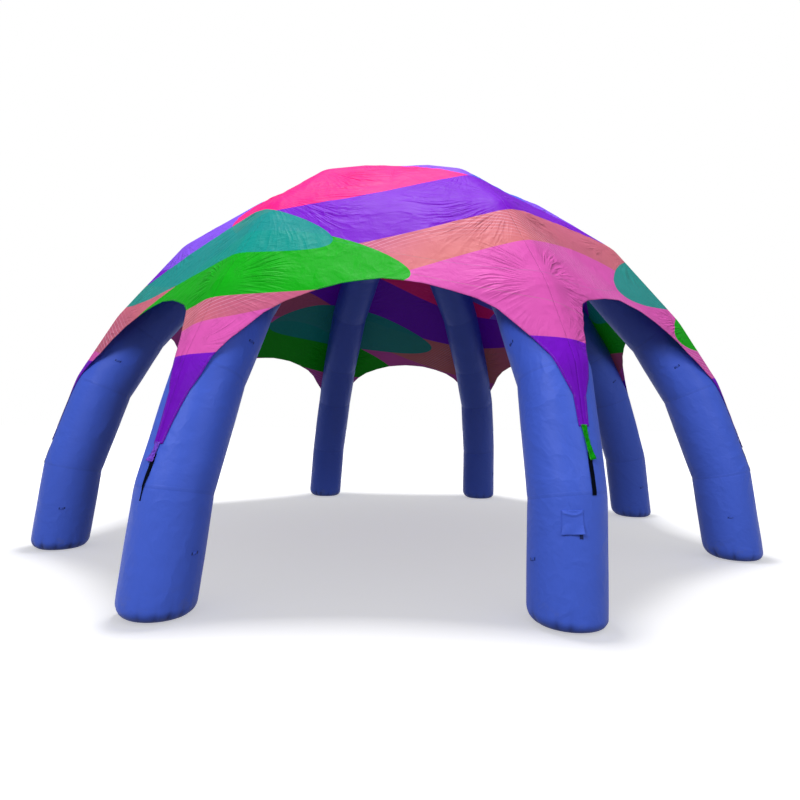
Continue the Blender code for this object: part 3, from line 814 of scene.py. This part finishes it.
def gore_folds(number, points, along, distance, past, half, leg, sizes):
    """Height of the creases above the plain cloth, and the facts that the material draws the finer ones
    from. From each bend of each leg a fan of creases spreads over the bay: its rays turn about a place
    on the ridge, and it fades with the distance from there. fan is the angle round that place, far is the
    distance from it, and pull is how strong the creases are."""
    height = sizes.fold
    free = ramp(past, 0.18)
    folds = (0.50 * rumple(points, 0.75, 100) + 0.22 * rumple(points, 0.26, 101)) * height * free
    facts = {f"{key}_{which}": np.zeros(points.shape[:2]) for key in ("fan", "far", "pull") for which in "ab"}
    rng = np.random.default_rng(7 + number)
    lean = rumple(points, 0.8, 120) * 0.10
    middle = ramp(distance.max(1, keepdims=True) - distance, 0.15)
    for side in (0, 1):
        for bend, (seam, above, reach, strong) in enumerate(FANS):
            start = rng.uniform(0, 20)
            rise = along - (leg.along[seam] + above) + lean
            away = np.hypot(distance - 0.05, rise)
            angle = np.arctan2(rise, distance + 0.04)
            pull = np.exp(-((away / reach - 0.50) ** 2) * 6.0) * np.exp(-((angle / 1.1) ** 2))
            pull *= ramp(0.55 + 0.7 * rumple(points, 0.6, 130 + 9 * number + bend + 40 * side))
            pull *= (half == side) * strong * ramp(away - 0.08, 0.22)
            pull *= ramp(distance, 0.12) * middle
            rays = rumple(np.stack([angle * 2.4 + start, away * 0.55, 0 * away + bend], -1), 1.0, 200 + bend)
            folds += height * 2.6 * ramp(1 - 1.8 * np.abs(rays)) ** 1.5 * pull
            key = "ab"[bend % 2]
            stronger = pull > facts[f"pull_{key}"]
            for fact, value in (("fan", angle * 7.0 + start), ("far", away * 1.6), ("pull", pull)):
                facts[f"{fact}_{key}"] = np.where(stronger, value, facts[f"{fact}_{key}"])
    pucker = crest(along * 21 + 2.8 * rumple(points, 0.35, 150)) * bump_at(distance, 0.42, 0.16)
    pucker *= ramp(rumple(points, 0.9, 151) + 0.35) * (along < leg.along[-2])
    folds += 0.45 * height * pucker
    tail = ramp(2.35 - along, 0.5)
    lengthwise = crest(distance * 62 + 1.2 * np.sin(along * 5 + number) + number * half)
    folds += 0.0032 * tail * lengthwise * ramp(distance, 0.012)
    return np.where(past < 0.02, np.maximum(folds, -0.0015), folds), facts


def strip(rows, columns):
    """Shares along and across a strip: 0 to 1, and -0.5 to 0.5."""
    return np.linspace(0, 1, rows)[:, None], np.linspace(-0.5, 0.5, columns)[None]


def ribbon_piece(name, path, material_made, thickness, whole=False, facts=None):
    """A strip through a grid of points, rows along it and columns across it, thick on its outer side. Its
    UV runs in metres along it, or from 0 to 1 if whole."""
    rows, columns = path.shape[:2]
    across = np.linspace(0, 1, columns)[None] * np.ones((rows, 1))
    steps = np.linalg.norm(np.diff(path[:, columns // 2], axis=0), axis=1)
    runs = np.concatenate([[0], np.cumsum(steps)])[:, None] * np.ones(columns)
    uv = np.stack([across, runs / runs[-1, 0] if whole else runs], -1)
    return make_piece(name, path, grid_faces(rows, columns), material_made, uv, thickness, facts)


def tab_piece(number, leg, sizes):
    """A corner tab: it follows the tube under the tail's end, then lifts and flares to one side, with a
    roll across its end."""
    share, across = strip(26, 11)
    top, end = leg.tail_end + 0.012, leg.tab_end
    along = top + (end - top) * share + 0.010 * share**3 * across * leg.turned
    flare = share**2.6
    wider = 0.42 if number == 1 else 0.16
    width = sizes.tab_width * (0.94 - 0.20 * np.sin(math.pi * share) + wider * flare)
    aside = share * leg.tab_aside + leg.turned * 0.015 * flare + across * width
    roll = 1.0 + 0.5 * np.sin(across * 6.0 * leg.turned)
    crumple = np.sin(across * 11 + share * 13 + number) * np.sin(share * 17 - across * 7 + 2 * number)
    crumple *= ramp(share * 4) * (0.4 + 0.6 * share)
    loose = 1.0 if number in (1, 2) else 0.35
    lift = 0.0085 + loose * (0.0150 * flare * roll + 0.0050 * crumple)
    radius = sizes.tube_radius + lift
    path = leg.on_tube(along, aside / radius, radius)
    made = material("green_tab" if number in (2, 4, 6, 7) else "lilac_tab")
    obj = ribbon_piece(f"cloth_tab_{number}", path[::-1], made, 0.0030, whole=True)
    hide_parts(f"corner_tab_{number}")
    return obj


def strap_piece(number, leg, sizes):
    """A webbing strap from under the tab to the first seam, lying on the tube with a slight slack; the
    front left one runs past the seam, folded lengthwise to a narrow end."""
    share, across = strip(40, 7)
    top, end = leg.tab_end + 0.060, LONG_STRAP_END if number == 1 else STRAP_END
    along = top + (end - top) * share
    narrow = 0.72 * ramp(share - 0.45, 0.35) if number == 1 else 0.0
    width = sizes.strap_width * (1 - narrow)
    aside = leg.tab_aside + across * width + 0.0015 * np.sin(share * 7 + number)
    aside = aside - 0.028 * share**2 * (number == 1)
    lift = 0.0022 + 0.0014 * np.sin(math.pi * share) * (1 + np.sin(share * 11 + number))
    radius = sizes.tube_radius + lift + 0 * across
    path = leg.on_tube(along + 0 * across, aside / radius, radius)
    facts = {"sewn": (ramp(share - 0.86, 0.01) + 0 * across)[::-1]}
    obj = ribbon_piece(f"webbing_strap_{number}", path[::-1], material("webbing"), 0.0024, facts=facts)
    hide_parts(f"strap_{number}")
    return obj


def loop_piece(name, leg, along, way, sizes):
    """A tie loop: a short strip sewn flat by both ends across the flank, with a shallow belly between."""
    share, across = strip(22, 5)
    belly = ramp(np.sin(math.pi * (share - 0.16) / 0.68)) * (share > 0.16) * (share < 0.84)
    lift = 0.0012 + 0.0075 * belly * (1 + 0.25 * np.sin(across * 3))
    radius = sizes.tube_radius + lift
    angle = way * math.pi / 2 + (share - 0.5) * LOOP_LENGTH / radius
    slant = 0.010 * (share - 0.5)
    path = leg.on_tube(along - across * LOOP_WIDTH + slant, angle, radius)
    # The flat sewn ends, which the loop's material darkens with painted shade
    sewn = 1 - ramp(belly * 9) + 0 * across
    obj = ribbon_piece(name, path, material("loop"), 0.0016, facts={"sewn": sewn})
    return obj


def flap_piece(leg, sizes):
    """The valve flap: square cloth round the tube, sewn by its top edge under a sagging fold, its lower
    right corner lifted."""
    down, across = np.linspace(0, 1, 30)[:, None], np.linspace(0, 1, 28)[None]
    corner = (down * across) ** 2.2
    middle = np.sin(math.pi * across)
    fold = 0.0080 * bump_at(down, 0.08 + 0.12 * np.sin(math.pi * across**1.4), 0.055) * middle**0.4
    wrinkle = 0.0040 * np.sin(down * 8 + across * 6) * down * (1 - 0.5 * across)
    lift = 0.0014 + 0.030 * corner + 0.0090 * down**1.5 * (1 - 0.4 * across) + fold + wrinkle
    radius = sizes.tube_radius + np.maximum(lift, 0.0014 + 0.004 * down)
    angle = FLAP_ANGLE + (across - 0.5) * FLAP_WIDTH / sizes.tube_radius * (1 - 0.03 * np.sin(math.pi * down))
    along = FLAP_PLACE + (0.5 - down) * FLAP_HEIGHT + 0.004 * middle * (down - 1)
    path = leg.on_tube(along, angle, radius)
    obj = ribbon_piece("inflation_flap", path[::-1], material("tube"), 0.0018, facts=seamless(path))
    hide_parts("valve_flap")


def pull_piece(leg, sizes):
    """The short webbing pull that hangs from under the flap's lifted corner."""
    share, across = strip(18, 5)
    turn = FLAP_ANGLE + 0.40 * FLAP_WIDTH / sizes.tube_radius
    radius = sizes.tube_radius + 0.0016 + 0.004 * share**2 + 0 * across
    angle = turn + across * 0.026 / radius
    along = FLAP_PLACE - 0.5 * FLAP_HEIGHT + 0.030 - share * 0.062 + 0 * across
    path = leg.on_tube(along, angle, radius)
    # sewn is 1 all over, so the whole pull takes the loops' painted end shade: partly the pull's own dark
    # webbing, partly painted shadow under the lifted corner
    facts = {"sewn": np.ones(path.shape[:2])}
    obj = ribbon_piece("inflation_pull", path[::-1], material("loop"), 0.0024, facts=facts)
    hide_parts("valve_pull")


# ---------------------------------------------------------------- operators


class SPIDERTENT_OT_legs(bpy.types.Operator):
    """Inflate the legs"""

    bl_idname = "spidertent.legs"
    bl_label = "Air Legs"

    def execute(self, context):
        for number, leg in enumerate(ALL_LEGS, 1):
            tube_piece(number, leg, context.scene.tent_sizes)
        return {"FINISHED"}


class SPIDERTENT_OT_crown(bpy.types.Operator):
    """Make the crown chamber that the legs meet in"""

    bl_idname = "spidertent.crown"
    bl_label = "Crown Chamber"

    def execute(self, context):
        crown_piece()
        return {"FINISHED"}


class SPIDERTENT_OT_canopy(bpy.types.Operator):
    """Cut, drape and crease the canopy, with its tabs and webbing straps"""

    bl_idname = "spidertent.canopy"
    bl_label = "Canopy"

    def execute(self, context):
        sizes = context.scene.tent_sizes
        for number, (left, right) in enumerate(zip(ALL_LEGS, ALL_LEGS[1:] + ALL_LEGS[:1]), 1):
            tab, strap = tab_piece(number, left, sizes), strap_piece(number, left, sizes)
            obj, size, area = gore_piece(number, left, right, sizes)
            after = number % len(ALL_LEGS) + 1
            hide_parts(f"canopy_panel_{number}")
        return {"FINISHED"}


def sheet_area(points):
    """Area of a grid of points, by the two triangles of each quad, on every second row and column so
    that small creases count for nothing."""
    p = points[::2, ::2]
    a, b, c, d = p[:-1, :-1], p[:-1, 1:], p[1:, 1:], p[1:, :-1]
    first = np.linalg.norm(np.cross(b - a, c - a), axis=2)
    second = np.linalg.norm(np.cross(c - a, d - a), axis=2)
    return round(float(0.5 * (first + second).sum()), 2)


class SPIDERTENT_OT_loops(bpy.types.Operator):
    """Sew the tie loops to the flanks of the legs"""

    bl_idname = "spidertent.loops"
    bl_label = "Tie Loops"

    def execute(self, context):
        sizes = context.scene.tent_sizes
        for number, leg in enumerate(ALL_LEGS, 1):
            for which, way in enumerate((-1, 1)):
                lower = loop_piece(f"lower_loop_{2 * number - 1 + which}", leg, LOWER_LOOPS, way, sizes)
                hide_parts(f"tie_loop_{2 * number - 1 + which}")
                loop_piece(f"upper_loop_{2 * number - 1 + which}", leg, UPPER_LOOPS, way, sizes)
        return {"FINISHED"}


class SPIDERTENT_OT_valve(bpy.types.Operator):
    """Make the inflation flap and its pull"""

    bl_idname = "spidertent.valve"
    bl_label = "Inflation Flap"

    def execute(self, context):
        flap_piece(ALL_LEGS[FLAP_LEG], context.scene.tent_sizes)
        pull_piece(ALL_LEGS[FLAP_LEG], context.scene.tent_sizes)
        return {"FINISHED"}


def area_light(name, place, aim, size, power):
    """A square light of that size at a place, which looks at its aim."""
    data = bpy.data.lights.new(name, "AREA")
    data.shape, data.size, data.size_y = "RECTANGLE", size, size
    data.energy = power
    obj = bpy.data.objects.new(name, data)
    bpy.context.scene.collection.objects.link(obj)
    way = np.array(aim, float) - place
    obj.location = place
    tilt = math.acos(-way[2] / np.linalg.norm(way))
    obj.rotation_euler = (tilt, 0.0, math.atan2(way[1], way[0]) - math.pi / 2)
    return obj


class SPIDERTENT_OT_stage(bpy.types.Operator):
    """Set the camera, the pale floor, the soft lights and the pale surroundings"""

    bl_idname = "spidertent.stage"
    bl_label = "Stage"

    def execute(self, context):
        scene = context.scene
        lens = bpy.data.cameras.new("view")
        lens.lens, lens.sensor_width, lens.sensor_fit = LENS, 36.0, "AUTO"
        lens.clip_end = 500.0
        camera = bpy.data.objects.new("view", lens)
        scene.collection.objects.link(camera)
        ahead = np.array([math.sin(AIM) * math.cos(TILT), math.cos(AIM) * math.cos(TILT), math.sin(TILT)])
        right = np.array([math.cos(AIM), -math.sin(AIM), 0.0])
        up = np.cross(right, ahead)
        turned_right = math.cos(ROLL) * right + math.sin(ROLL) * up
        turned_up = -math.sin(ROLL) * right + math.cos(ROLL) * up
        ways = zip(turned_right, turned_up, -ahead, EYE)
        camera.matrix_world = Matrix([*ways, (0.0, 0.0, 0.0, 1.0)])
        scene.camera = camera

        data = bpy.data.meshes.new("floor")
        corners = [(x * FLOOR_REACH, y * FLOOR_REACH, -0.001) for x, y in ((-1, -1), (1, -1), (1, 1), (-1, 1))]
        data.from_pydata(corners, [], [(0, 1, 2, 3)])
        ground = Cloth("pale_floor", colour("floor"), 0.9, specular_ior_level=0.0, emission_strength=1.0)
        x, y, _ = ground.parts(ground.place())
        away = (x * x + y * y).math("SQRT")
        glow = ground.add(
            "ShaderNodeMapRange",
            {"interpolation_type": "SMOOTHSTEP"},
            {"Value": away, "From Min": 4.6, "From Max": 9.0, "To Min": 0.470, "To Max": 1.0},
        )
        ground.to("Emission Color", ground.mix(glow, (0.0, 0.0, 0.0), (1.0, 1.0, 1.0)))
        data.materials.append(ground.material)
        floor = bpy.data.objects.new("floor", data)
        floor.visible_diffuse = False
        scene.collection.objects.link(floor)

        world = bpy.data.worlds.new("studio")
        scene.world = world
        world.use_nodes = True
        sky = Nodes(world.node_tree)
        height = sky.parts(sky.add("ShaderNodeTexCoord", out="Generated"))[2]
        ranges = {"From Min": -0.6, "From Max": 0.5, "To Min": 0.10, "To Max": 0.30}
        glow = sky.add("ShaderNodeMapRange", {}, {"Value": height, **ranges})
        seen = sky.add("ShaderNodeLightPath", out="Is Camera Ray").math("MAXIMUM", glow)
        back = sky.tree.nodes["Background"]
        back.inputs["Color"].default_value = (1.0, 1.0, 1.0, 1.0)
        sky.tree.links.new(seen.socket, back.inputs["Strength"])

        area_light("overhead", (0.0, 0.1, 17.5), (0.0, 0.0, 0.0), 2.8, 1550.0)
        top = area_light("top_fill", (0.0, -3.0, 13.0), (0.0, 0.0, 0.0), 4.0, 180.0)
        left = area_light("front_left", (-7.0, -14.0, 10.5), (0.0, 0.0, 2.2), 6.0, 1250.0)
        right = area_light("front_right", (7.5, -12.0, 7.0), (0.0, 0.0, 2.0), 5.0, 360.0)
        spared = bpy.data.collections.new("lit_from_overhead_alone")
        spared.objects.link(floor)
        spared.collection_objects[0].light_linking.link_state = "EXCLUDE"
        for light in (left, right, top):
            light.light_linking.receiver_collection = spared
        scene.view_settings.view_transform = "Standard"
        return {"FINISHED"}


class SPIDERTENT_PT_panel(bpy.types.Panel):
    """The tent's sizes, colours and steps"""

    bl_idname = "SPIDERTENT_PT_panel"
    bl_label = "Spider Tent"
    bl_space_type = "VIEW_3D"
    bl_region_type = "UI"
    bl_category = "Spider Tent"

    def draw(self, context):
        for group in (context.scene.tent_sizes, context.scene.tent_colours):
            box = self.layout.box()
            for key in group.__annotations__:
                box.prop(group, key)
        for step in STEPS:
            self.layout.operator(step.bl_idname)


STEPS = (
    SPIDERTENT_OT_stage,
    SPIDERTENT_OT_legs,
    SPIDERTENT_OT_crown,
    SPIDERTENT_OT_canopy,
    SPIDERTENT_OT_loops,
    SPIDERTENT_OT_valve,
)
CLASSES = (TentSizes, TentColours, *STEPS, SPIDERTENT_PT_panel)


def register():
    for each in CLASSES:
        bpy.utils.register_class(each)
    bpy.types.Scene.tent_sizes = PointerProperty(type=TentSizes)
    bpy.types.Scene.tent_colours = PointerProperty(type=TentColours)


def unregister():
    del bpy.types.Scene.tent_sizes, bpy.types.Scene.tent_colours
    for each in reversed(CLASSES):
        bpy.utils.unregister_class(each)


def main():
    register()
    for step in STEPS:
        group, name = step.bl_idname.split(".")
        getattr(getattr(bpy.ops, group), name)()
    bpy.context.view_layer.update()


if __name__ == "__main__":
    main()
